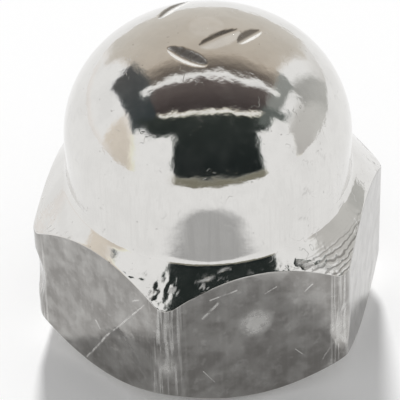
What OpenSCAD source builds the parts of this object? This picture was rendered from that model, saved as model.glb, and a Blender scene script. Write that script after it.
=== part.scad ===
// Cap nut: a hexagon with a closed dome over a blind tapped hole.
// It stands on its bearing face, with the thread's axis on Z and the dome upwards.

/* [Thread] */
// Nominal thread diameter
thread_d = 10; // [6:1:10]
// Thread pitch
thread_pitch = 1.5; // [0.75:0.25:1.75]
// Thickness left in the crown above the drill point
crown_wall = 3; // [1.5:0.1:5]
// Full angle of the drill point at the hole's blind end
drill_point_angle = 118; // [100:2:140]
// Full angle of the countersink at the hole's mouth
countersink_angle = 90; // [80:5:120]
// Width of the countersink's rim beyond the thread, on the diameter
countersink_over = 0.8; // [0.2:0.1:1.4]

/* [Hexagon] */
// Width across the flats
across_flats = 17; // [16.5:0.5:20]
// Height of the flats at the middle of their arched tops
hex_h = 8.7; // [7:0.1:9.5]
// Radius of the six rounded corners
corner_r = 1.4; // [0.6:0.1:2]
// Angle of the crease where a corner's rounding meets the flats
corner_crease = 10; // [5:1:15]
// Fall of the chamfer that runs from the dome out over the corners, from the level
chamfer_angle = 50; // [30:1:52]
// Distance from the flats in to the edge of the bearing face
bearing_inset = 0.5; // [0.1:0.1:1.5]
// Rise of the lower chamfer, from the level
lower_chamfer_angle = 45; // [20:1:52]

/* [Dome] */
// Height of the whole nut, before the crown's wear
nut_h = 18.5; // [17.5:0.5:22]
// Diameter of the dome's straight part
dome_d = 15; // [12:0.1:15.2]
// How far the dome was formed off the hexagon's axis
dome_offset = 0.5; // [0:0.1:0.5]
// Compass angle of the side that it lies off to
dome_compass = 255; // [0:5:355]
// How much larger the crown's radius is than the dome's
crown_over = 1; // [0.2:0.1:2]
// Radius of the dome's shoulder, between the straight part and the crown
shoulder_r = 6; // [4:0.1:6]
// Radius of the fillet at the dome's foot
foot_fillet_r = 1.5; // [1.3:0.1:2]
// Angle of the crease where the fillet meets the dome's wall and the chamfer
foot_crease = 12; // [12:1:16]

/* [Wear] */
// Depth of the flat worn on top of the crown
crown_wear = 0.05; // [0.02:0.01:0.1]
// Radius of the bruises' hollows along the corners
bruise_r = 5; // [3:0.5:8]
// Depth of the deepest corner bruise
bruise_depth = 0.26; // [0.1:0.02:0.4]
// Depth of the round pits on the flats
pit_depth = 0.04; // [0.02:0.01:0.1]

/* [Hidden] */
$fn = 96;

// Basic minor diameter of the metric thread, which is the bored wall's diameter
minor_d = thread_d - 1.0825 * thread_pitch;
countersink_d = thread_d + countersink_over;
countersink_h = (countersink_d - minor_d) / 2 / tan(countersink_angle / 2);
drill_point_h = minor_d / 2 / tan(drill_point_angle / 2);
hole_depth = nut_h - crown_wall - drill_point_h;

// How far a cutting shape runs past the faces that it cuts
cut = 1;
// Rise of the shoulder's disc over true tangency, so that it meets the crown with no ledge
seam = 0.001;

// Distance of a sharp corner from the axis, and of its rounding's centre and top
corner_reach = across_flats / sqrt(3);
corner_centre = corner_reach - corner_r * cos(corner_crease) / cos(30);
corner_top = corner_centre + corner_r;

// The bearing face's edge
bearing_r = across_flats / 2 - bearing_inset;

// Height of the chamfer's cone at a distance from the hexagon's axis
function chamfer_z(r) = hex_h + (across_flats / 2 - r) * tan(chamfer_angle);

// The cone meets the off-centre dome along a line that is almost a tilted circle:
// the height of its middle, its tilt, and its mean radius in that tilted plane
dome_r = dome_d / 2;
foot_z = chamfer_z((dome_r + norm([dome_r, dome_offset])) / 2);
foot_tilt = atan(dome_offset * tan(chamfer_angle) / dome_r);
foot_r = dome_r * (1 + 1 / cos(foot_tilt)) / 2;

// The fillet's centre, measured from that line: as far from the wall as from the cone
fillet_gap = foot_fillet_r * cos(foot_crease);
fillet_run = fillet_gap * tan((90 - chamfer_angle) / 2);

// The dome's section: straight wall, shoulder arc and crown arc, each tangent to the next
crown_r = dome_r + crown_over;
crown_z = nut_h - crown_r;
shoulder_x = dome_r - shoulder_r;
shoulder_z = crown_z + sqrt(pow(crown_r - shoulder_r, 2) - pow(shoulder_x, 2));
// Angle above the level at which the shoulder hands over to the crown
crown_angle = atan2(shoulder_z - crown_z, shoulder_x);
crown_start_z = crown_z + crown_r * sin(crown_angle);

// Nicks in the crown: compass angle, tilt from the axis, turn of the nick, length, cutter radius
CROWN_NICKS = [
    [106, 22, -74, 2.2, 0.8],
    [-132, 15, 81, 2.3, 1],
    [-58, 7, 77, 2.3, 1.3],
    [-25, 16, 62, 1.7, 0.5]
];
// The flat on the crown: compass angle and tilt
CROWN_FLAT = [150, 1];
// Bruised corners: compass angle, height, share of the full depth
BRUISES = [
    [180, 4.5, 1],
    [240, 4.2, 0.6],
    [300, 4, 0.8]
];
// Pits on the flats: compass angle of the flat, distance along it, height
PITS = [
    [210, 1.2, 3.3],
    [270, -0.1, 5.5]
];
pit_r = 9;

// Half of the hexagon's section. Both chamfers run out past the corners, and the upper one
// runs in under the dome.
module hexagon_section() {
    reach = corner_reach + cut;
    inner_r = dome_r - dome_offset - cut;
    polygon([
        [0, 0],
        [bearing_r, 0],
        [reach, (reach - bearing_r) * tan(lower_chamfer_angle)],
        [reach, chamfer_z(reach)],
        [inner_r, chamfer_z(inner_r)],
        [0, chamfer_z(inner_r)]
    ]);
}

// Half of the dome's section, which starts inside the hexagon.
// The shoulder's disc runs on inside the wall below it and inside the crown above it.
module dome_section() {
    translate([0, hex_h - cut])
        square([dome_r, shoulder_z - hex_h + cut]);
    intersection() {
        translate([shoulder_x, shoulder_z + seam])
            circle(r = shoulder_r);
        translate([0, shoulder_z - cut])
            square([dome_r, crown_start_z - shoulder_z + 2 * cut]);
    }
    intersection() {
        translate([0, crown_z])
            circle(r = crown_r);
        translate([0, crown_start_z])
            square([dome_r, nut_h - crown_start_z + cut]);
    }
}

// The fillet's section, measured from the line where the wall meets the cone.
// It runs back into both, and the circle that hollows it reaches a little past both.
module foot_section() {
    difference() {
        polygon([
            [0, fillet_run],
            [-cut, fillet_run],
            [-cut, -cut],
            [0, -2 * cut],
            [fillet_run * cos(chamfer_angle), -fillet_run * sin(chamfer_angle)]
        ]);
        translate([fillet_gap, fillet_run])
            circle(r = foot_fillet_r);
    }
}

// The dome with the fillet at its foot, which dips to the side that the dome lies off to
module dome() {
    rotate_extrude()
        dome_section();
    translate([0, 0, foot_z])
        rotate([0, foot_tilt, dome_compass])
            rotate_extrude()
                translate([foot_r, 0])
                    foot_section();
}

// What one corner loses: all that lies outside the arc, from the middle of its chord outwards
module corner_cut() {
    difference() {
        translate([corner_centre + corner_r * cos(30), -corner_r])
            square(2 * corner_r);
        translate([corner_centre, 0])
            circle(r = corner_r);
    }
}

// The hexagon with rounded corners, seen along the axis
module rounded_hexagon() {
    difference() {
        circle(r = corner_reach, $fn = 6);
        for (turn = [0 : 60 : 300])
            rotate(turn)
                corner_cut();
    }
}

// Moves what belongs to the dome off the hexagon's axis
module off_centre() {
    translate(dome_offset * [cos(dome_compass), sin(dome_compass), 0])
        children();
}

module blank() {
    intersection() {
        union() {
            rotate_extrude()
                hexagon_section();
            off_centre()
                dome();
        }
        translate([0, 0, -cut])
            linear_extrude(height = nut_h + 2 * cut)
                rounded_hexagon();
    }
}

// The hole to be tapped: countersunk mouth, straight wall and drill point
module tapping_hole() {
    rotate_extrude()
        polygon([
            [0, -cut],
            [countersink_d / 2, -cut],
            [countersink_d / 2, 0],
            [minor_d / 2, countersink_h],
            [minor_d / 2, hole_depth],
            [0, hole_depth + drill_point_h]
        ]);
}

// Puts a shape on the crown, with its Z pointing straight out of the surface
module on_crown(compass, tilt) {
    translate([0, 0, crown_z])
        rotate([0, tilt, compass])
            translate([0, 0, crown_r])
                children();
}

// Puts a shape at a corner or on a flat, with its Z pointing outwards and its Y upwards
module on_side(compass, reach, height) {
    rotate(compass)
        translate([reach, 0, height])
            rotate([90, 0, 90])
                children();
}

// A boat-shaped nick, as long as the cylinder's lowest line lies inside the crown
module crown_nick(compass, tilt, turn, length, cutter_r) {
    depth = crown_r - sqrt(pow(crown_r, 2) - pow(length / 2, 2));
    on_crown(compass, tilt)
        rotate(turn)
            translate([0, 0, cutter_r - depth])
                rotate([0, 90, 0])
                    cylinder(r = cutter_r, h = length + cut, center = true);
}

module crown_wear_cuts() {
    on_crown(CROWN_FLAT[0], CROWN_FLAT[1])
        translate([-dome_r / 2, -dome_r / 2, -crown_wear])
            cube([dome_r, dome_r, cut]);
    for (nick = CROWN_NICKS)
        crown_nick(nick[0], nick[1], nick[2], nick[3], nick[4]);
}

module side_wear_cuts() {
    for (bruise = BRUISES)
        on_side(bruise[0], corner_top - bruise_depth * bruise[2] + bruise_r, bruise[1])
            rotate([0, 90, 0])
                cylinder(r = bruise_r, h = 4 * corner_r, center = true);
    for (pit = PITS)
        on_side(pit[0], across_flats / 2 - pit_depth + pit_r, pit[2])
            translate([pit[1], 0, 0])
                sphere(r = pit_r);
}

module cap_nut() {
    color("silver")
        difference() {
            blank();
            tapping_hole();
            off_centre()
                crown_wear_cuts();
            side_wear_cuts();
        }
}

cap_nut();
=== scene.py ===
"""The looks of a plated cap nut: its worn outside, the thread in its hole, and a studio."""

import math

import bpy
import numpy as np
from mathutils import Matrix, Vector


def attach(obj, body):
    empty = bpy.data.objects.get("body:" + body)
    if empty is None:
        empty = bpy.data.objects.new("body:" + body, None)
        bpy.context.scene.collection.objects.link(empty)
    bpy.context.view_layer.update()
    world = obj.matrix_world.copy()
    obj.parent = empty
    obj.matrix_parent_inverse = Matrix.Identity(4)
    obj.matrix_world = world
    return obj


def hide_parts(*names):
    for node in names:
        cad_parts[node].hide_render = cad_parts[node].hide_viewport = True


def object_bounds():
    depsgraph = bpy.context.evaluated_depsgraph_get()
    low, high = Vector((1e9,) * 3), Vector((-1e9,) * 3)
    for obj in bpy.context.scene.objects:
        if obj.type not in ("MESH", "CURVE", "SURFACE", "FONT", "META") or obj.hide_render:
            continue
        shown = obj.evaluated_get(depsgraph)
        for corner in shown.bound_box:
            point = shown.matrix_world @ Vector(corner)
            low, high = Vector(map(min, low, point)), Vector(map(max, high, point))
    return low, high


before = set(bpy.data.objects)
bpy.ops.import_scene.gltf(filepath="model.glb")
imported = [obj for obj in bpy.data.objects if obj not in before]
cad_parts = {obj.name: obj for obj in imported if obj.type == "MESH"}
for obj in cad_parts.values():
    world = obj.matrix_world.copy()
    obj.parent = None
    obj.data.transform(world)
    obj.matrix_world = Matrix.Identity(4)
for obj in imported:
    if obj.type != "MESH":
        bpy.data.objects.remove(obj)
cad_low, cad_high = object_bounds()
cad_box = [list(cad_low), list(cad_high)]

MM = 0.001


# ---- The nut's form, in millimetres. Compass angles run counter-clockwise from +X. ----

APOTHEM = (cad_high.y - cad_low.y) / 2 / MM
CORNER_R = 1.4
CORNER_CENTRE = (cad_high.x - cad_low.x) / 2 / MM - CORNER_R
LIMIT_X = CORNER_CENTRE + CORNER_R
BEARING_R = APOTHEM - 0.5
HEX_H = 8.7
CHAMFER = math.radians(50)
CHAMFER_TOP = 11.5

FRONT = math.radians(255)
DOME_AT = 0.5 * np.array([math.cos(FRONT), math.sin(FRONT)])
DOME_R = 7.5
SHOULDER_R = 6.0
CROWN_R = 8.5
NUT_H = 18.5
CROWN_Z = NUT_H - CROWN_R
WALL_TOP = CROWN_Z + math.sqrt((CROWN_R - SHOULDER_R) ** 2 - (DOME_R - SHOULDER_R) ** 2)
CROWN_HANDOVER = math.atan2(WALL_TOP - CROWN_Z, DOME_R - SHOULDER_R)
FLAT_TILT, FLAT_COMPASS, FLAT_DEPTH = math.radians(1), math.radians(150), 0.05
BLEND = 0.19

THREAD_R = 5.0
PITCH = 1.5
MINOR_R = THREAD_R - 0.54125 * PITCH
SINK_R = THREAD_R + 0.4
SINK_H = SINK_R - MINOR_R
POINT_H = MINOR_R / math.tan(math.radians(59))
HOLE_H = NUT_H - 3.0 - POINT_H

# Bruised corners: compass angle, height, depth. Shallow pits: compass angle, along, height.
BRUISES = [(180, 4.5, 0.26), (240, 4.2, 0.16), (300, 4.0, 0.21)]
BRUISE_R = 5.0
PITS = [(210, 1.2, 3.3), (270, -0.1, 5.5)]
PIT_R, PIT_DEPTH = 9.0, 0.04


def smooth_max(a, b, k):
    """The greater of a and b, with the corner between them rounded over a width k."""
    h = np.maximum(k - np.abs(a - b), 0) / k
    return np.maximum(a, b) + h * h * k / 4


def round_union(a, b, r):
    """The union of two solids, with a fillet where they meet that grows with r."""
    inside = np.hypot(np.maximum(r - a, 0), np.maximum(r - b, 0))
    return np.maximum(r, np.minimum(a, b)) - inside


def chamfer_height(r):
    """Height of the chamfer's cone at a distance from the hexagon's axis."""
    return HEX_H + (APOTHEM - r) * math.tan(CHAMFER)


def hexagon(x, y):
    """Distance outside the hexagon with rounded corners, seen along the axis."""
    r = np.hypot(x, y)
    turn = np.abs((np.arctan2(y, x) + np.pi / 6) % (np.pi / 3) - np.pi / 6)
    u, v = r * np.cos(turn), r * np.sin(turn)
    flat = u * math.cos(math.pi / 6) + v / 2 - APOTHEM
    arc = np.hypot(u - CORNER_CENTRE, v) - CORNER_R
    near_corner = np.arctan2(v, u - CORNER_CENTRE) < math.pi / 6
    return np.where(near_corner, smooth_max(flat, arc, 0.02), flat)


def dome(x, y, z):
    x, y = x - DOME_AT[0], y - DOME_AT[1]
    r = np.hypot(x, y)
    crown = np.hypot(r, z - CROWN_Z) - CROWN_R
    shoulder = np.hypot(r - (DOME_R - SHOULDER_R), z - WALL_TOP) - SHOULDER_R
    angle = np.arctan2(z - CROWN_Z, r)
    round_part = np.where(angle > CROWN_HANDOVER, crown, shoulder)
    d = np.where(z < WALL_TOP, r - DOME_R, round_part)
    out = (
        math.sin(FLAT_TILT) * math.cos(FLAT_COMPASS),
        math.sin(FLAT_TILT) * math.sin(FLAT_COMPASS),
        math.cos(FLAT_TILT),
    )
    worn = x * out[0] + y * out[1] + (z - CROWN_Z) * out[2] - CROWN_R + FLAT_DEPTH
    return smooth_max(d, worn, 0.01)


def body(p):
    """Distance outside the nut's blank, with its edges a little rounded by wear."""
    x, y, z = p[..., 0], p[..., 1], p[..., 2]
    r = np.hypot(x, y)
    chamfer = np.maximum((z - chamfer_height(r)) * math.cos(CHAMFER), z - CHAMFER_TOP)
    lower = np.maximum(-z, ((r - BEARING_R) - z) * math.sqrt(0.5))
    prism = smooth_max(smooth_max(hexagon(x, y), lower, 0.06), chamfer, 0.05)
    blank = round_union(prism, np.maximum(dome(x, y, z), HEX_H / 2 - z), BLEND)
    for compass, height, depth in BRUISES:
        a = math.radians(compass)
        axis = CORNER_CENTRE + CORNER_R - depth + BRUISE_R
        hollow = BRUISE_R - np.hypot(x * math.cos(a) + y * math.sin(a) - axis, z - height)
        blank = smooth_max(blank, hollow, 0.04)
    for compass, across, height in PITS:
        a = math.radians(compass)
        reach = APOTHEM - PIT_DEPTH + PIT_R
        out = x * math.cos(a) + y * math.sin(a) - reach
        side = -x * math.sin(a) + y * math.cos(a) - across
        blank = smooth_max(blank, PIT_R - np.sqrt(out ** 2 + side ** 2 + (z - height) ** 2), 0.01)
    return blank


def slope(p, solid=body, step=1e-4):
    """The unit vector straight out of a solid's surface at each point."""
    out = np.empty(p.shape)
    for axis in range(3):
        d = np.zeros(3)
        d[axis] = step
        out[..., axis] = solid(p + d) - solid(p - d)
    return out / np.linalg.norm(out, axis=-1, keepdims=True)


# ---- Dents, nicks and burrs, raised or sunk along the surface's own normal ----

def on_crown(x, y):
    """A place on the crown, from its distances to the hexagon's axis."""
    return x, y, CROWN_Z + math.sqrt(CROWN_R ** 2 - (x - DOME_AT[0]) ** 2 - (y - DOME_AT[1]) ** 2)


def on_dome(compass, z):
    """A place on the dome's wall or shoulder, from its compass angle about the dome's axis."""
    a = math.radians(compass)
    r = DOME_R - SHOULDER_R + math.sqrt(SHOULDER_R ** 2 - max(z - WALL_TOP, 0) ** 2)
    return DOME_AT[0] + r * math.cos(a), DOME_AT[1] + r * math.sin(a), z


def on_cone(compass, r):
    a = math.radians(compass)
    return r * math.cos(a), r * math.sin(a), chamfer_height(r)


def on_flat(compass, across, z):
    """A place on the flat that faces a compass angle, across it from its middle."""
    a = math.radians(compass)
    return APOTHEM * math.cos(a) - across * math.sin(a), APOTHEM * math.sin(a) + across * math.cos(a), z


def on_corner(compass, z):
    a = math.radians(compass)
    return LIMIT_X * math.cos(a), LIMIT_X * math.sin(a), z


# From where to where, width on the left of the way there, on its right, depth, bow, and how
# bare the metal on the right is.
NICKS = [
    (on_crown(-1.9, 1.8), on_crown(0.2, 4.1), 0.30, 0.60, 0.12, 0.06, 0.9),
    (on_crown(-2.3, -1.2), on_crown(-0.8, -3.1), 0.62, 0.30, 0.13, -0.16, 1.0),
    (on_crown(-0.8, -1.8), on_crown(1.5, -0.9), 0.34, 0.84, 0.11, 0.05, 0.3),
    (on_crown(1.2, -2.0), on_crown(2.7, -0.9), 0.50, 0.30, 0.10, 0.02, 1.0),
    (on_crown(1.5, -1.0), on_crown(1.7, -1.6), 0.10, 0.12, 0.03, 0.0, 0.8),
    (on_dome(212, 11.1), on_dome(207, 11.2), 0.12, 0.12, 0.03, 0.0, 0.4),
    (on_dome(208, 9.6), on_dome(211, 10.0), 0.10, 0.10, 0.03, 0.03, 0.3),
    (on_dome(315, 9.5), on_dome(321, 9.5), 0.12, 0.12, 0.03, 0.0, 0.4),
    (on_dome(293, 12.6), on_dome(297, 12.0), 0.14, 0.14, 0.03, 0.10, 0.4),
    (on_dome(289, 12.2), on_dome(298, 12.4), 0.12, 0.14, 0.03, -0.12, 0.4),
    (on_dome(289, 10.9), on_dome(297, 10.4), 0.12, 0.12, 0.03, 0.08, 0.4),
    (on_dome(303, 14.1), on_dome(308, 13.2), 0.12, 0.12, 0.02, 0.05, 0.3),
    (on_flat(210, 1.4, 4.3), on_flat(210, 3.2, 2.5), 0.30, 1.50, 0.07, 0.0, 0.06),
    (on_flat(270, -0.4, 5.3), on_flat(270, -0.1, 5.8), 0.10, 0.12, 0.02, 0.0, 0.1),
    (on_flat(270, -1.6, 1.3), on_flat(270, -1.5, 0.9), 0.12, 0.12, 0.03, 0.0, 0.5),
]
# Metal pushed up along the cone's edges: from, to, width, height, bow.
BURRS = [
    (on_cone(285, 8.5), on_cone(291, 8.9), 0.20, 0.10, 0.0),
    (on_cone(291, 8.9), on_cone(299, 9.4), 0.18, 0.08, 0.06),
    (on_cone(257, 8.3), on_cone(262, 8.2), 0.10, 0.06, 0.08),
    (on_cone(250, 8.6), on_cone(256, 8.4), 0.10, 0.06, 0.0),
]
MARKS = ("scraped", "grimy", "turned", "rubbed", "handled_and_painted_reflection")
REACH_OFF_FACE = 0.6
CRUMPLE_R = (8.2, 8.9)
CRUMPLE = 0.030
NICK_DEPTH = 0.09
TURNED_AT, TURNED_SPAN = 308, 34


def waves(p, size, seed, count=24):
    """A smooth random field in space, from about -1 to 1, with hills about size millimetres wide."""
    dice = np.random.default_rng(seed)
    total = np.zeros(p.shape[:-1])
    for _ in range(count):
        way = dice.normal(size=3)
        way *= 2 * math.pi / (size * np.linalg.norm(way)) * dice.uniform(0.6, 1.4)
        total += np.sin(p @ way + dice.uniform(0, 2 * math.pi))
    return total / math.sqrt(count)


def ramp(a, low, high):
    """A smooth rise from 0 to 1 as a goes from low to high."""
    t = np.clip((a - low) / (high - low), 0, 1)
    return t * t * (3 - 2 * t)


def beside(p, normal, start, end, bow):
    """Share of the way from start to end, and distance to its left, for points near that line."""
    start, end = np.array(start), np.array(end)
    length = np.linalg.norm(end - start)
    way = (end - start) / length
    from_start = p - start
    share = from_start @ way / length
    left = np.cross(normal, way)
    left /= np.maximum(np.linalg.norm(left, axis=1, keepdims=True), 1e-9)
    across = (from_start * left).sum(1) - bow * (1 - (2 * share - 1) ** 2)
    near = np.abs((from_start * normal).sum(1)) < REACH_OFF_FACE
    return share, across, near & (share > 0) & (share < 1)


def wear(p, normal):
    """Height of the worn surface, and how much of each mark in MARKS it shows, from 0 to 1."""
    ragged = 0.03 * waves(p, 0.35, 3)
    height, scraped, grimy = np.zeros((3, len(p)))
    for start, end, left, right_side, depth, bow, bare in NICKS:
        share, across, near = beside(p, normal, start, end, bow)
        taper = np.sqrt(np.clip(4 * share * (1 - share), 0, 1))
        width = np.where(across > 0, left, right_side) * np.maximum(taper, 0.05)
        sunk = np.clip(1 - np.hypot(across / width + ragged * taper, 0.2), 0, 1) / 0.8
        height = np.minimum(height, np.where(near, -depth * taper * sunk, 0))
        shown = np.where(near, ramp(sunk, 0, 0.25) * min(depth / NICK_DEPTH, 1), 0)
        scraped = np.maximum(scraped, bare * shown * ramp(-across, 0, 0.3 * right_side))
        grimy = np.maximum(grimy, shown * ramp(across, 0, 0.3 * left))
    for start, end, width, rise, bow in BURRS:
        share, across, near = beside(p, normal, start, end, bow)
        taper = np.clip(4 * share * (1 - share), 0, 1) ** 0.4 * (1 + 8 * ragged)
        lifted = np.clip(1 - np.abs(across + ragged) / width, 0, 1)
        height = np.maximum(height, np.where(near, rise * taper * lifted, height))
        scraped = np.maximum(scraped, np.where(near, lifted * taper, 0))
    on_cone = ramp(np.hypot(p[:, 0], p[:, 1]), *CRUMPLE_R)
    on_cone *= ramp(p[:, 2], 6.5, 7.5) * ramp(normal[:, 2], 0.3, 0.5)
    patchy = ramp(waves(p, 2.2, 5), -0.6, 0.9)
    folds = np.abs(waves(p, 0.55, 6)) + 0.4 * np.abs(waves(p, 0.3, 9))
    height -= CRUMPLE * on_cone * patchy * folds
    grimy = np.maximum(grimy, on_cone * patchy * ramp(-folds, -0.22, 0.0))
    chipped = on_cone * ramp(waves(p, 0.22, 11) + 0.5 * waves(p, 1.2, 12), 1.15, 1.45)
    scraped = np.maximum(scraped, chipped)
    height += 0.0022 * waves(p, 1.1, 7) + 0.0010 * waves(p, 0.5, 8)
    compass = np.degrees(np.arctan2(p[:, 1], p[:, 0])) % 360
    # Where the lathe rings show: they get a bump, and painted shade runs along them.
    turned = on_cone * (0.2 + 0.8 * ramp(-np.abs(compass - TURNED_AT), -TURNED_SPAN, -TURNED_SPAN / 2))
    from_corner = np.abs((compass + 30) % 60 - 30)
    upright = ramp(-np.abs(normal[:, 2]), -0.5, -0.2)
    on_hexagon = upright * ramp(-p[:, 2], -9.2, -8.4)
    rubbed = upright * 0.12 + on_hexagon * (0.88 * ramp(-from_corner, -7, -3) - 0.06)
    # The hexagon, for the wear of handling and for the painted reflection on the flats' colour.
    handled_and_painted_reflection = 0.25 + 0.75 * on_hexagon
    return height, scraped, grimy, turned, rubbed, handled_and_painted_reflection


# ---- The grid of points: columns round the axis, rows from the bearing face up to the cap ----

COLUMNS = 440
CAP_R = 4.2
# Extra density of columns at the front, half the angle that it covers, and how sharply it ends.
EXTRA_FRONT, FRONT_HALF, FRONT_EDGE = 1.1, 1.65, 6
# Length of the rows' fine part on each side of the dome's foot.
FOOT_RUN = 0.42
# The thread's rows to a turn, its groove's flat and flank as shares, and where it runs out.
ROWS_A_TURN = 10
GROOVE_FLAT, GROOVE_FLANK = 0.25, 0.625
RUN_OUT = 2.2


def column_angles():
    """Compass angles of the columns, closer together on the side that the camera sees."""
    fine = np.linspace(0, 2 * np.pi, 7201)
    from_front = np.abs((fine - FRONT + np.pi) % (2 * np.pi) - np.pi)
    density = 1 + EXTRA_FRONT / (1 + np.exp((from_front - FRONT_HALF) * FRONT_EDGE))
    total = np.concatenate([[0], np.cumsum((density[1:] + density[:-1]) / 2)])
    return np.interp(np.arange(COLUMNS) / COLUMNS * total[-1], total, fine)


def hexagon_reach(theta):
    """Distance from the axis to the hexagon in each compass direction."""
    turn = np.abs((theta + np.pi / 6) % (np.pi / 3) - np.pi / 6)
    flat = APOTHEM / np.cos(np.pi / 6 - turn)
    root = CORNER_R ** 2 - (CORNER_CENTRE * np.sin(turn)) ** 2
    arc = CORNER_CENTRE * np.cos(turn) + np.sqrt(np.maximum(root, 0))
    return np.where((root > 0) & (turn < np.radians(6)), np.minimum(flat, arc), flat)


def along(a, b, shares):
    """Rows of points between the rows a and b, at the given shares of the way."""
    s = np.asarray(shares)[:, None, None]
    return a[None] * (1 - s) + b[None] * s


def spread(n):
    """n equal shares from 0 towards 1."""
    return np.arange(n) / n


def outer_rows(theta):
    """(row, column, xyz) of the outside, from the countersink's rim to the edge of the cap."""
    compass = np.stack([np.cos(theta), np.sin(theta)], 1)
    reach = hexagon_reach(theta)

    def at(r, z, centre=(0, 0)):
        return np.column_stack([compass * np.reshape(r, (-1, 1)) + centre, z + 0 * theta])

    def on_dome(r, z):
        return at(r, z, DOME_AT)

    rim = at(SINK_R, 0.0)
    bearing = at(BEARING_R, 0.0)
    low = at(reach, reach - BEARING_R)
    high = at(reach, chamfer_height(reach))
    foot_r = np.linalg.norm(compass * DOME_R + DOME_AT, axis=1)
    foot = on_dome(DOME_R, chamfer_height(foot_r))
    outwards = np.column_stack([compass * math.cos(CHAMFER), np.full(len(theta), -math.sin(CHAMFER))])
    fillet_low = foot + FOOT_RUN * outwards
    fillet_high = foot + np.array([0, 0, FOOT_RUN])
    rows = [
        along(rim, bearing, [0, 0.04, 0.2, 0.45, 0.7, 0.88, 0.96, 0.99]),
        along(bearing, low, [0, 0.04, 0.15, 0.35, 0.6, 0.82, 0.94, 0.98]),
        along(low, high, [0, 0.005, 0.012, 0.02]),
        along(low, high, 0.03 + 0.94 * spread(40)),
        along(low, high, [0.98, 0.988, 0.995]),
        along(high, fillet_low, [0, 0.015, 0.04, 0.08, 0.14]),
        along(high, fillet_low, 0.22 + 0.1 * np.arange(8)),
        along(fillet_low, foot, spread(5)),
        along(foot, fillet_high, spread(5)),
        along(fillet_high, on_dome(DOME_R, WALL_TOP), spread(15)),
    ]
    arc = np.linspace(0, CROWN_HANDOVER, 41)[:-1]
    x0 = DOME_R - SHOULDER_R
    rows.append([on_dome(x0 + SHOULDER_R * math.cos(a), WALL_TOP + SHOULDER_R * math.sin(a)) for a in arc])
    arc = np.linspace(CROWN_HANDOVER, math.acos(CAP_R / CROWN_R), 10)
    rows.append([on_dome(CROWN_R * math.cos(a), CROWN_Z + CROWN_R * math.sin(a)) for a in arc])
    return np.concatenate(rows)


def cap_grid(theta):
    """A square grid bent into a disc of radius 1, whose edge has a point on every column."""
    n = COLUMNS // 4
    start = COLUMNS // 8
    edge = np.roll(np.stack([np.cos(theta), np.sin(theta)], 1), -start, axis=0)
    south, east = edge[: n + 1], edge[n : 2 * n + 1]
    north, west = edge[2 * n : 3 * n + 1][::-1], np.vstack([edge[3 * n :], edge[:1]])[::-1]
    s = np.linspace(0, 1, n + 1)[:, None, None]
    t = np.linspace(0, 1, n + 1)[None, :, None]
    straight = (
        (1 - s) * (1 - t) * south[0] + s * (1 - t) * south[n]
        + (1 - s) * t * north[0] + s * t * north[n]
    )
    grid = (
        (1 - t) * south[:, None] + t * north[:, None]
        + (1 - s) * west[None] + s * east[None] - straight
    )
    return grid, start


def thread_rows(theta):
    """(row, column, xyz) of the hole, from the countersink's rim up to the drill point's tip."""
    rows = []
    for s in np.linspace(0, 1, 7):
        rows.append((SINK_R - s * SINK_H, s * SINK_H))
    turns = (HOLE_H - SINK_H) / PITCH
    count = int(ROWS_A_TURN * turns)
    for i in range(1, count + 1):
        rows.append((MINOR_R, SINK_H + (HOLE_H - SINK_H) * i / count))
    for s in (0.25, 0.5, 0.75, 0.92):
        rows.append((MINOR_R * (1 - s), HOLE_H + POINT_H * s))
    rz = np.array(rows)
    r = np.repeat(rz[:, :1], len(theta), 1)
    z = np.repeat(rz[:, 1:], len(theta), 1)
    phase = (z / PITCH - theta[None] / (2 * np.pi)) % 1.0
    tooth = np.clip((np.abs(phase - 0.5) * 2 - GROOVE_FLAT) / GROOVE_FLANK, 0, 1)
    groove = THREAD_R - tooth * (THREAD_R - MINOR_R)
    fade = np.clip((HOLE_H - RUN_OUT - z) / PITCH, 0, 1)
    cut = MINOR_R + (groove - MINOR_R) * fade
    in_wall = z <= HOLE_H + 1e-6
    r = np.where(in_wall, np.maximum(r, cut), r)
    return np.stack([r * np.cos(theta), r * np.sin(theta), z], -1)


def ring(row, columns=COLUMNS, base=0):
    """Numbers of the points in a row."""
    return base + row * columns + np.arange(columns)


def strip(a, b):
    """Faces between two closed rings of points."""
    return np.stack([a, np.roll(a, -1), np.roll(b, -1), b], 1).tolist()


def cap_points(grid):
    """The points inside the cap's edge, on the crown's sphere."""
    inner = grid[1:-1, 1:-1].reshape(-1, 2) * CAP_R
    z = CROWN_Z + np.sqrt(CROWN_R ** 2 - (inner ** 2).sum(1))
    return np.column_stack([inner + DOME_AT, z])


def cap_faces(top, start, inner_base):
    """Faces of the cap, whose edge is the ring top."""
    n = COLUMNS // 4
    ids = np.full((n + 1, n + 1), -1)
    border = np.roll(top, -start)
    ids[:, 0] = border[: n + 1]
    ids[n, :] = border[n : 2 * n + 1]
    ids[:, n] = border[2 * n : 3 * n + 1][::-1]
    ids[0, :] = np.concatenate([border[3 * n :], border[:1]])[::-1]
    ids[1:n, 1:n] = np.arange((n - 1) * (n - 1)).reshape(n - 1, n - 1) + inner_base
    quads = np.stack([ids[:-1, :-1], ids[1:, :-1], ids[1:, 1:], ids[:-1, 1:]], -1)
    return quads.reshape(-1, 4).tolist()


def rim_faces(outer, inner):
    """Faces between the outside's first ring and the hole's, which has a quarter of its points."""
    faces = []
    for j in range(len(inner)):
        a, b = inner[j], inner[(j + 1) % len(inner)]
        near = [outer[(4 * j + i) % COLUMNS] for i in range(5)]
        faces += [[a, near[1], near[0]], [a, near[2], near[1]], [a, b, near[2]]]
        faces += [[b, near[3], near[2]], [b, near[4], near[3]]]
    return faces


def hole_faces(rows, columns, base):
    """Faces of the hole's wall, and of the drill point round its tip."""
    faces = []
    for row in range(rows - 1):
        faces += strip(ring(row + 1, columns, base), ring(row, columns, base))
    last = ring(rows - 1, columns, base)
    tip = np.full(columns, base + rows * columns)
    return faces + np.stack([tip, np.roll(last, -1), last], 1).tolist()


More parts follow.
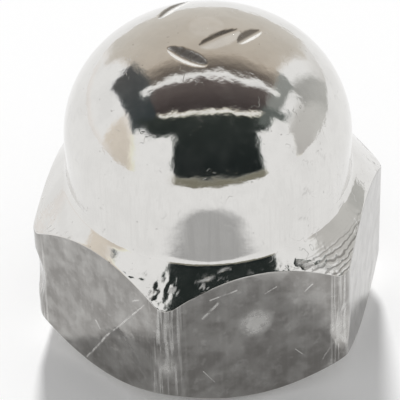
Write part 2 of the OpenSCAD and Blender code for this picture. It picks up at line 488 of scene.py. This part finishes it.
def place_outside(points):
    """Moves the points on to the worn form, and says how much of each mark they show."""
    for _ in range(6):
        points -= body(points)[:, None] * slope(points)
    normal = slope(points)
    height, *marks = wear(points, normal)
    points += (height * ramp(points[:, 2], 0.05, 0.3))[:, None] * normal
    low_corner, high_corner = [[v / MM for v in corner] for corner in cad_box]
    points = np.clip(points, low_corner, high_corner)
    points[:COLUMNS, 2] = 0.0
    return points, marks


def build_nut():
    """Every point in millimetres, every face, and the marks on each point."""
    theta = column_angles()
    rows = outer_rows(theta)
    grid, start = cap_grid(theta)
    outside, marks = place_outside(np.concatenate([rows.reshape(-1, 3), cap_points(grid)]))
    hole = thread_rows(theta[::4])
    faces = []
    for row in range(len(rows) - 1):
        faces += strip(ring(row), ring(row + 1))
    faces += cap_faces(ring(len(rows) - 1), start, len(rows) * COLUMNS)
    faces += rim_faces(ring(0), ring(0, hole.shape[1], len(outside)))
    faces += hole_faces(hole.shape[0], hole.shape[1], len(outside))
    every = np.concatenate([outside, hole.reshape(-1, 3), [[0, 0, HOLE_H + POINT_H]]])
    unseen = np.zeros(len(every) - len(outside))
    return every, faces, [np.concatenate([mark, unseen]) for mark in marks]


points, faces, marks = build_nut()
mesh = bpy.data.meshes.new("nut_with_thread")
mesh.from_pydata((points * MM).tolist(), [], faces)
mesh.polygons.foreach_set("use_smooth", [True] * len(mesh.polygons))
mesh.update()
for name, values in zip(MARKS, marks):
    mesh.attributes.new(name, "FLOAT", "POINT").data.foreach_set("value", values.astype(np.float32))
nut = bpy.data.objects.new("worn_cap_nut", mesh)
bpy.context.scene.collection.objects.link(nut)
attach(nut, "root")
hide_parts("cap_nut")


# ---- The chrome ----

# Pale scratches too fine for the mesh: from, to, half width.
SCRATCHES = [
    (on_flat(210, -1.1, 0.8), on_flat(210, 0.6, 3.3), 0.100),
    (on_flat(210, 0.6, 3.3), on_flat(210, 3.0, 6.4), 0.080),
    (on_flat(210, 3.0, 6.4), on_flat(210, 3.6, 7.2), 0.050),
    (on_flat(210, -0.2, 3.9), on_flat(210, 0.1, 3.5), 0.080),
    (on_flat(210, 2.7, 6.9), on_flat(210, 3.2, 7.3), 0.070),
    (on_flat(270, -2.0, 7.3), on_flat(270, -2.8, 6.5), 0.130),
    (on_flat(270, -1.0, 7.9), on_flat(270, -2.4, 7.6), 0.080),
    (on_flat(270, 1.1, 7.6), on_flat(270, 0.5, 7.3), 0.060),
    (on_flat(270, 2.6, 6.9), on_flat(270, 3.0, 7.3), 0.070),
    (on_flat(270, 2.1, 3.1), on_flat(270, 2.7, 2.4), 0.045),
    (on_flat(270, -2.9, 2.9), on_flat(270, -2.3, 2.0), 0.040),
    (on_flat(270, 3.6, 2.0), on_flat(270, 4.3, 3.2), 0.060),
    (on_dome(290, 13.0), on_dome(300, 11.6), 0.035),
    (on_dome(288, 11.7), on_dome(299, 12.1), 0.035),
    (on_dome(287, 10.4), on_dome(298, 11.2), 0.030),
    (on_dome(304, 13.4), on_dome(310, 11.4), 0.030),
    (on_dome(310, 12.6), on_dome(314, 10.6), 0.030),
    (on_dome(315, 12.4), on_dome(320, 10.7), 0.030),
]
SCRATCH_WANDER = 0.10
# Frosted spots: centre, radius where it begins to fade, radius where it ends, strength.
FROST = [
    (on_flat(270, 0.0, 5.5), 0.30, 1.15, 0.50),
    (on_crown(0.0, -0.3), 0.80, 0.98, 0.12),
    (on_corner(240, 3.6), 0.20, 1.00, 0.35),
    (on_corner(300, 3.6), 0.20, 1.10, 0.40),
]
RING_EVERY = 0.17
# How far the hexagon's colour is darkened towards the colour of grime: partly duller plating, mostly a
# painted reflection of a grey floor that the flats mirror.
FLATS_DULL_AND_PAINTED_REFLECTION = 0.68
PLATING = (0.72, 0.71, 0.69, 1)
RUBBED_BARE = (0.88, 0.87, 0.84, 1)
# The grime colour also gives the painted shade along the lathe rings and the painted reflection on the
# flats.
GRIME_AND_PAINTED_SHADE = (0.10, 0.09, 0.08, 1)
# How rough the polished plating is, and how much metalness a fully matte place loses.
POLISH = 0.06
METAL_LOST = 0.85
# Heights in the bump are in micrometres.
MICROMETRE = 1e-6


class Chrome:
    """Builds the worn chrome's nodes. Its points are in millimetres, in the nut's own frame."""

    def __init__(self):
        self.material = bpy.data.materials.new("worn_chrome")
        self.material.use_nodes = True
        self.tree = self.material.node_tree
        self.shader = self.tree.nodes["Principled BSDF"]
        place = self.tree.nodes.new("ShaderNodeTexCoord").outputs["Object"]
        self.point = self.vector("SCALE", place, scale=1 / MM)

    def put(self, socket, value):
        if isinstance(value, bpy.types.NodeSocket):
            self.tree.links.new(value, socket)
        else:
            socket.default_value = value

    def math(self, operation, a, b=0.0, clamp=False):
        made = self.tree.nodes.new("ShaderNodeMath")
        made.operation, made.use_clamp = operation, clamp
        self.put(made.inputs[0], a)
        self.put(made.inputs[1], b)
        return made.outputs[0]

    def vector(self, operation, a, b=(0, 0, 0), scale=1.0):
        made = self.tree.nodes.new("ShaderNodeVectorMath")
        made.operation = operation
        self.put(made.inputs[0], a)
        self.put(made.inputs[1], b)
        self.put(made.inputs[3], scale)
        return made.outputs[1 if operation in ("DOT_PRODUCT", "DISTANCE") else 0]

    def noise(self, per_mm, detail=3.0, stretch=(1, 1, 1), colour=False):
        made = self.tree.nodes.new("ShaderNodeTexNoise")
        self.put(made.inputs["Vector"], self.vector("MULTIPLY", self.point, stretch))
        made.inputs["Scale"].default_value = per_mm
        made.inputs["Detail"].default_value = detail
        return made.outputs["Color" if colour else "Fac"]

    def step(self, value, low, high, out_low=0.0, out_high=1.0):
        made = self.tree.nodes.new("ShaderNodeMapRange")
        made.interpolation_type = "SMOOTHSTEP"
        for socket, setting in zip(made.inputs[:5], (value, low, high, out_low, out_high)):
            self.put(socket, setting)
        return made.outputs[0]

    def painted(self, name):
        made = self.tree.nodes.new("ShaderNodeAttribute")
        made.attribute_name = name
        return made.outputs["Fac"]

    def scratch(self, point, start, end, half_width):
        """1 along the line from start to end, 0 past its half width."""
        way = Vector(end) - Vector(start)
        from_start = self.vector("SUBTRACT", point, start)
        forward = self.vector("DOT_PRODUCT", from_start, way)
        share = self.math("DIVIDE", forward, way.length_squared, clamp=True)
        nearest = self.vector("SCALE", tuple(way), scale=share)
        return self.step(self.vector("DISTANCE", from_start, nearest), 0.0, half_width, 1.0, 0.0)

    def scratches(self):
        shift = self.vector("SUBTRACT", self.noise(1.3, 2.0, colour=True), (0.5, 0.5, 0.5))
        wandering = self.vector("ADD", self.point, self.vector("SCALE", shift, scale=SCRATCH_WANDER))
        total = 0.0
        for start, end, half_width in SCRATCHES:
            total = self.math("MAXIMUM", self.scratch(wandering, start, end, half_width), total)
        return self.math("MULTIPLY", total, self.step(self.noise(2.0), 0.3, 0.6))

    def hairlines(self, per_mm, stretch, low, high):
        """Fine broken lines, where a stretched noise passes through its middle."""
        away = self.math("ABSOLUTE", self.math("SUBTRACT", self.noise(per_mm, 2.0, stretch), 0.5))
        line = self.step(away, 0.0, low, 1.0, 0.0)
        return self.math("MULTIPLY", line, self.step(self.noise(0.6), high, high + 0.1))

    def rings(self):
        """The lathe's rings round the dome's axis, from -1 to 1."""
        across = self.vector("MULTIPLY", self.vector("SUBTRACT", self.point, (*DOME_AT, 0)), (1, 1, 0))
        radius = self.vector("DISTANCE", across, (0, 0, 0))
        wobbling = self.math("ADD", radius, self.math("MULTIPLY", self.noise(0.8), 0.5))
        return self.math("SINE", self.math("MULTIPLY", wobbling, 2 * math.pi / RING_EVERY))

    def times(self, a, b):
        return self.math("MULTIPLY", a, b)

    def largest(self, first, *others):
        for other in others:
            first = self.math("MAXIMUM", first, other)
        return first

    def find_marks(self):
        """The marks painted on the mesh, and the finer ones that noise makes."""
        painted = [self.painted(name) for name in MARKS]
        self.scraped, self.grimy, self.turned, self.rubbed, self.handled_and_painted_reflection = painted
        self.smears = self.times(self.handled_and_painted_reflection, self.step(self.noise(0.75, 8.0), 0.42, 0.68))
        self.curls = self.hairlines(1.1, (1, 1, 0.8), 0.010, 0.55)
        self.streaks = self.noise(6.0, 3.0, (1, 1, 0.04))
        # The lathe rings where they show, for their bump and for painted shade along them.
        self.ring_shade_and_bump = self.times(self.turned, self.rings())

    def frost(self):
        """Spots where the polish is gone, patchy inside."""
        total = 0.0
        for centre, inner, outer, strength in FROST:
            away = self.vector("DISTANCE", self.point, centre)
            total = self.largest(self.step(away, inner, outer, strength, 0.0), total)
        return self.times(total, self.step(self.noise(3.0), 0.22, 0.60, 0.35, 1.0))

    def matte(self):
        """How far scraping, scratches, frost and rubbing have taken the polish."""
        dabs = self.times(self.handled_and_painted_reflection, self.step(self.noise(2.4, 5.0), 0.56, 0.66))
        rubs = self.times(self.rubbed, self.step(self.streaks, 0.45, 0.62))
        scratches = self.times(self.scratches(), 0.55)
        worn = self.largest(self.scraped, scratches, self.frost(), self.times(rubs, 0.40))
        worn = self.math("ADD", worn, self.times(self.smears, 0.085))
        return self.math("ADD", worn, self.times(dabs, 0.085), clamp=True)

    def roughness(self, matte):
        total = self.math("ADD", self.times(matte, 0.40), POLISH)
        total = self.math("ADD", total, self.times(self.smears, 0.10))
        return self.math("ADD", total, self.times(self.grimy, 0.18), clamp=True)

    def darkness(self, matte):
        """Grime, specks, the lines that rubbing leaves, painted shade along the lathe rings, and the flats'
        darkening: duller plating and a painted reflection.
        """
        dull = self.times(self.handled_and_painted_reflection, self.step(self.noise(0.9, 8.0), 0.58, 0.34, 0.0, 0.22))
        specks = self.times(self.step(self.noise(4.2, 1.0), 0.74, 0.80), 0.35)
        # Painted shade: darker on one side of each lathe ring's wave.
        ring_shade_and_bump = self.times(self.step(self.ring_shade_and_bump, 0.1, 0.9), 0.55)
        rub_lines = self.times(self.rubbed, self.step(self.streaks, 0.52, 0.38))
        # The hexagon's colour is darkened towards the grime colour: partly duller plating, mostly a painted
        # reflection of a grey floor. It fades where the plating is matte.
        unrubbed = self.math("SUBTRACT", 1.0, self.times(matte, 1.6), clamp=True)
        mottled = self.step(self.noise(0.9, 8.0), 0.36, 0.62, 0.86, 1.10)
        flats_dull_and_painted_reflection = self.times(self.step(self.handled_and_painted_reflection, 0.3, 0.9, 0.0, FLATS_DULL_AND_PAINTED_REFLECTION), mottled)
        return self.largest(
            self.times(self.grimy, 0.80), dull, specks, self.times(self.curls, 0.25),
            ring_shade_and_bump, self.times(rub_lines, 0.50), self.times(flats_dull_and_painted_reflection, unrubbed),
        )

    def bump(self, matte):
        """Heights in micrometres: grain, waves, streaks, rings, curls, and grit where it is matte."""
        height = self.times(self.noise(4.5, 4.0), 3.2)
        height = self.math("ADD", height, self.times(self.noise(1.6, 2.0), 5.0))
        height = self.math("ADD", height, self.times(self.streaks, 0.8))
        height = self.math("ADD", height, self.times(self.ring_shade_and_bump, 3.5))
        height = self.math("SUBTRACT", height, self.times(self.curls, 3.0))
        grit = self.times(matte, self.noise(12.0, 2.0))
        height = self.math("ADD", height, self.times(grit, 8.0))
        made = self.tree.nodes.new("ShaderNodeBump")
        made.inputs["Strength"].default_value = 1
        made.inputs["Distance"].default_value = MICROMETRE
        self.put(made.inputs["Height"], height)
        return made.outputs["Normal"]

    def build(self):
        self.find_marks()
        matte = self.matte()
        metal = self.math("SUBTRACT", 1.0, self.times(matte, METAL_LOST))
        self.put(self.shader.inputs["Metallic"], metal)
        self.put(self.shader.inputs["Roughness"], self.roughness(matte))
        self.shade(self.darkness(matte), matte)
        self.put(self.shader.inputs["Normal"], self.bump(matte))
        return self.material

    def shade(self, dark, matte):
        """Plating that is paler where it is rubbed bare, and darker where grime sits, with painted shade
        along the lathe rings and a painted reflection on the flats.
        """
        bare = self.tree.nodes.new("ShaderNodeMix")
        bare.data_type = "RGBA"
        self.put(bare.inputs["Factor"], matte)
        bare.inputs["A"].default_value = PLATING
        bare.inputs["B"].default_value = RUBBED_BARE
        grime_and_shade = self.tree.nodes.new("ShaderNodeMix")
        grime_and_shade.data_type = "RGBA"
        self.put(grime_and_shade.inputs["Factor"], dark)
        self.put(grime_and_shade.inputs["A"], bare.outputs["Result"])
        grime_and_shade.inputs["B"].default_value = GRIME_AND_PAINTED_SHADE
        self.put(self.shader.inputs["Base Color"], grime_and_shade.outputs["Result"])


mesh.materials.append(Chrome().build())


# ---- The camera: millimetres, with its compass side and height above the level ----

AZ, EL = math.radians(-14.978), math.radians(38.051)
DISTANCE, TARGET_Z, LENS = 121.350, 7.65, 204.51
AIM = Vector((-0.572, -0.123, 7.312))
ROLL = math.radians(-1.668)
back = Vector((math.sin(AZ) * math.cos(EL), -math.cos(AZ) * math.cos(EL), math.sin(EL)))
right = Vector((math.cos(AZ), math.sin(AZ), 0))


def add_camera():
    """Looks from the eye at AIM, a little rolled."""
    up = back.cross(right)
    eye = Vector((0, 0, TARGET_Z)) + DISTANCE * back
    ahead = (AIM - eye).normalized()
    across = math.cos(ROLL) * right + math.sin(ROLL) * up
    across = (across - across.dot(ahead) * ahead).normalized()
    upright = across.cross(ahead)
    turned = Matrix((across, upright, -ahead)).transposed().to_4x4()
    camera = bpy.data.objects.new("camera", bpy.data.cameras.new("camera"))
    bpy.context.scene.collection.objects.link(camera)
    camera.matrix_world = Matrix.Translation(eye * MM) @ turned
    camera.data.sensor_width = 36
    camera.data.lens = LENS
    camera.data.clip_start = 0.001
    bpy.context.scene.camera = camera


add_camera()


# ---- The studio: a tent of soft cards above the floor, seen by reflections only ----
# A card's place is in degrees round the nut: side, to the camera's right, and tilt, from level
# in front (0), through overhead (90), to level behind (180). Its colours are screen colours, as
# the plating shows them, and no card is brighter than white.

TENT_R = 3.0
# The share of light that the plating gives back.
REFLECTED = 0.70
# The front cards start a little below the floor, which hides their soft edge. The side cards
# run on under it, out of sight.
FLOOR_EDGE = -4
WHITE = (1.0, 1.0, 0.99)
CREAM = (0.90, 0.88, 0.81)

side, tilt = np.meshgrid(np.linspace(-90, 90, 181), np.linspace(-135, 225, 361))
in_front = np.array([math.sin(AZ), -math.cos(AZ), 0])
sideways = np.sin(np.radians(side))[..., None] * np.array(right)
upwards = np.cos(np.radians(tilt))[..., None] * in_front + np.sin(np.radians(tilt))[..., None] * [0, 0, 1]
directions = sideways + np.cos(np.radians(side))[..., None] * upwards
tent = np.empty(directions.shape)


def card(sides, tilts, low_end, high_end=None, high_sides=None, soft=4):
    """A soft-edged card, whose colour and sides may change from its lower tilt to its higher one."""
    high_end, high_sides = high_end or low_end, high_sides or sides
    share = np.clip((tilt - tilts[0]) / (tilts[1] - tilts[0]), 0, 1)
    left = sides[0] + (high_sides[0] - sides[0]) * share
    right_edge = sides[1] + (high_sides[1] - sides[1]) * share
    depth = np.minimum.reduce([side - left, right_edge - side, tilt - tilts[0], tilts[1] - tilt])
    colour = np.array(low_end) + (np.array(high_end) - low_end) * share[..., None]
    tent[...] += (colour - tent) * np.clip(0.5 + depth / soft, 0, 1)[..., None]


def hang_walls():
    """Pale walls, greyer lower down, and a white backdrop behind the nut."""
    fall = ramp(-directions[..., 2], -0.5, 0.65)[..., None]
    left_wall = np.array([0.92, 0.92, 0.93]) * (1 - fall) + np.array([0.71, 0.68, 0.64]) * fall
    right_wall = np.array([0.87, 0.87, 0.87]) * (1 - fall) + np.array([0.63, 0.62, 0.60]) * fall
    across = ramp(side, -30, 30)[..., None]
    tent[...] = left_wall * (1 - across) + right_wall * across
    behind = ramp(-directions @ np.array(back), 0.55, 0.9)[..., None]
    tent[...] += (np.array([0.97, 0.97, 0.98]) - tent) * behind


def hang_side_cards():
    card((-74, -57), (-100, 92), (0.72, 0.69, 0.65), (0.80, 0.77, 0.73), (-90, -57), soft=14)
    card((62, 90), (-80, 225), (0.66, 0.65, 0.64), (0.74, 0.74, 0.73), soft=8)
    card((49, 66), (114, 215), (0.60, 0.60, 0.59), (0.72, 0.72, 0.71), soft=5)
    card((38, 51), (74, 122), (0.48, 0.49, 0.48), (0.54, 0.55, 0.54))


def hang_ceiling():
    """A warm grey ceiling, darker at its front edge, which ends in a pale batten."""
    card((-39, 40), (101, 166), (0.68, 0.64, 0.59), (0.73, 0.71, 0.68), (-37, 37), soft=5)
    card((-37, 37), (163, 206), (0.73, 0.71, 0.68), (0.79, 0.79, 0.78), (-12, 12), soft=6)
    card((-39, 40), (99, 120), (0.20, 0.18, 0.17), (0.66, 0.62, 0.57), soft=3)
    card((-57, -29), (58, 136), (0.17, 0.20, 0.21), (0.32, 0.32, 0.32), (-52, -36))
    card((-34, 39), (72, 98), (0.20, 0.18, 0.18), (0.37, 0.34, 0.33), soft=3)
    card((-40, 44), (97.5, 104), (0.92, 0.92, 0.91), soft=3)


def hang_front_cards():
    """The dark card round the camera, a strip light near its top, and a grey card at its foot."""
    card((-26, 44), (8, 72), (0.10, 0.12, 0.12), (0.17, 0.19, 0.18), (-50, 44))
    card((36, 58), (62, 82), (0.36, 0.38, 0.37), soft=6)
    card((-33, 37), (70.5, 74.5), (1.0, 0.98, 0.90), soft=2)
    card((-28, 45), (FLOOR_EDGE, 8), (0.45, 0.44, 0.39), (0.46, 0.45, 0.40))


def hang_windows():
    """Two tall soft boxes, each with a cream edge towards the walls."""
    card((-62, -50), (FLOOR_EDGE, 56), CREAM, CREAM, (-60, -50), soft=6)
    card((-57, -31), (FLOOR_EDGE, 52), WHITE, WHITE, (-55, -24))
    card((-54, -46), (46, 63), WHITE)
    card((62, 73), (FLOOR_EDGE, 4), CREAM, soft=6)
    card((45, 72), (FLOOR_EDGE, 54), WHITE, WHITE, (36, 66))
    card((46, 60), (46, 70), WHITE)


def build_tent():
    hang_walls()
    hang_side_cards()
    hang_ceiling()
    hang_front_cards()
    hang_windows()
    rows, columns = side.shape
    number = np.arange(side.size).reshape(rows, columns)
    quads = np.stack([number[:-1, :-1], number[1:, :-1], number[1:, 1:], number[:-1, 1:]], -1)
    screen = np.clip(tent.reshape(-1, 3), 0, 1)
    linear = np.where(screen <= 0.04045, screen / 12.92, ((screen + 0.055) / 1.055) ** 2.4)
    light = np.minimum(linear / REFLECTED, 1)
    shell = bpy.data.meshes.new("studio_tent")
    shell.from_pydata((directions.reshape(-1, 3) * TENT_R).tolist(), [], quads.reshape(-1, 4).tolist())
    layer = shell.color_attributes.new("light", "FLOAT_COLOR", "POINT")
    layer.data.foreach_set("color", np.column_stack([light, np.ones(len(light))]).astype(np.float32).ravel())
    made = bpy.data.objects.new("studio_tent", shell)
    bpy.context.scene.collection.objects.link(made)
    made.visible_camera = False
    made.visible_diffuse = False
    made.visible_transmission = False
    made.visible_shadow = False
    made.visible_volume_scatter = False
    return shell


def tent_light():
    """Gives off each card's own colour."""
    material = bpy.data.materials.new("tent_light")
    material.use_nodes = True
    material.cycles.emission_sampling = "NONE"
    tree = material.node_tree
    tree.nodes.clear()
    out = tree.nodes.new("ShaderNodeOutputMaterial")
    emission = tree.nodes.new("ShaderNodeEmission")
    colours = tree.nodes.new("ShaderNodeVertexColor")
    colours.layer_name = "light"
    tree.links.new(colours.outputs["Color"], emission.inputs["Color"])
    tree.links.new(emission.outputs[0], out.inputs["Surface"])
    return material


build_tent().materials.append(tent_light())


# ---- World, floor and lamp: the lamp and the world together make a white level of about 1 ----

AMBIENT = 0.45
LAMP_LEVEL = 0.55
# The lamp is broad and stands behind the nut. Its shadow falls forward, where the front flats
# mirror it.
LAMP_COMPASS, LAMP_HEIGHT, LAMP_WIDTH = math.radians(75), math.radians(28), math.radians(9)
FLOOR_HALF = 2.0
# Just below the bearing face, so that the two don't lie in one plane.
FLOOR_Z = -0.03 * MM
FLOOR_WHITE = (0.9, 0.9, 0.9, 1)
# What the floor's own colour is short of white, where it is seen or mirrored.
FLOOR_LIFT = 0.10


def larger(tree, a, b):
    made = tree.nodes.new("ShaderNodeMath")
    made.operation = "MAXIMUM"
    tree.links.new(a, made.inputs[0])
    tree.links.new(b, made.inputs[1])
    return made.outputs[0]


def seen(tree):
    """1 for what the camera sees, straight or through a reflection or glass."""
    rays = tree.nodes.new("ShaderNodeLightPath").outputs
    through = larger(tree, rays["Is Glossy Ray"], rays["Is Transmission Ray"])
    return larger(tree, rays["Is Camera Ray"], through)


def add_world():
    """White where it is seen or mirrored, and a softer light on the nut and floor."""
    world = bpy.data.worlds.new("white_room")
    bpy.context.scene.world = world
    world.use_nodes = True
    tree = world.node_tree
    tree.nodes.clear()
    choose = tree.nodes.new("ShaderNodeMixShader")
    tree.links.new(seen(tree), choose.inputs[0])
    for socket, strength in zip(choose.inputs[1:], (AMBIENT, 1.0)):
        background = tree.nodes.new("ShaderNodeBackground")
        background.inputs["Color"].default_value = (1, 1, 1, 1)
        background.inputs["Strength"].default_value = strength
        tree.links.new(background.outputs[0], socket)
    out = tree.nodes.new("ShaderNodeOutputWorld")
    tree.links.new(choose.outputs[0], out.inputs["Surface"])


def white_paper():
    """Diffuse, and lifted to white where it is seen or mirrored, so that it keeps the shadow."""
    material = bpy.data.materials.new("white_paper")
    material.use_nodes = True
    tree = material.node_tree
    tree.nodes.clear()
    paper = tree.nodes.new("ShaderNodeBsdfDiffuse")
    paper.inputs["Color"].default_value = FLOOR_WHITE
    lift = tree.nodes.new("ShaderNodeMath")
    lift.operation = "MULTIPLY"
    lift.inputs[1].default_value = FLOOR_LIFT
    shine = tree.nodes.new("ShaderNodeEmission")
    both = tree.nodes.new("ShaderNodeAddShader")
    out = tree.nodes.new("ShaderNodeOutputMaterial")
    tree.links.new(seen(tree), lift.inputs[0])
    tree.links.new(lift.outputs[0], shine.inputs["Strength"])
    tree.links.new(paper.outputs[0], both.inputs[0])
    tree.links.new(shine.outputs[0], both.inputs[1])
    tree.links.new(both.outputs[0], out.inputs["Surface"])
    return material


def add_floor():
    flat = bpy.data.meshes.new("floor")
    signs = ((-1, -1), (1, -1), (1, 1), (-1, 1))
    corners = [(x * FLOOR_HALF, y * FLOOR_HALF, FLOOR_Z) for x, y in signs]
    flat.from_pydata(corners, [], [(0, 1, 2, 3)])
    flat.materials.append(white_paper())
    floor = bpy.data.objects.new("floor", flat)
    bpy.context.scene.collection.objects.link(floor)


def add_lamp():
    lamp = bpy.data.objects.new("soft_lamp", bpy.data.lights.new("soft_lamp", "SUN"))
    bpy.context.scene.collection.objects.link(lamp)
    lamp.data.angle = LAMP_WIDTH
    lamp.data.energy = math.pi * LAMP_LEVEL / math.sin(LAMP_HEIGHT)
    to_lamp = Vector((math.cos(LAMP_COMPASS), math.sin(LAMP_COMPASS), math.tan(LAMP_HEIGHT)))
    lamp.rotation_euler = to_lamp.to_track_quat("Z", "Y").to_euler()
    lamp.visible_glossy = False


add_world()
add_floor()
add_lamp()

bpy.context.scene.view_settings.view_transform = "Standard"
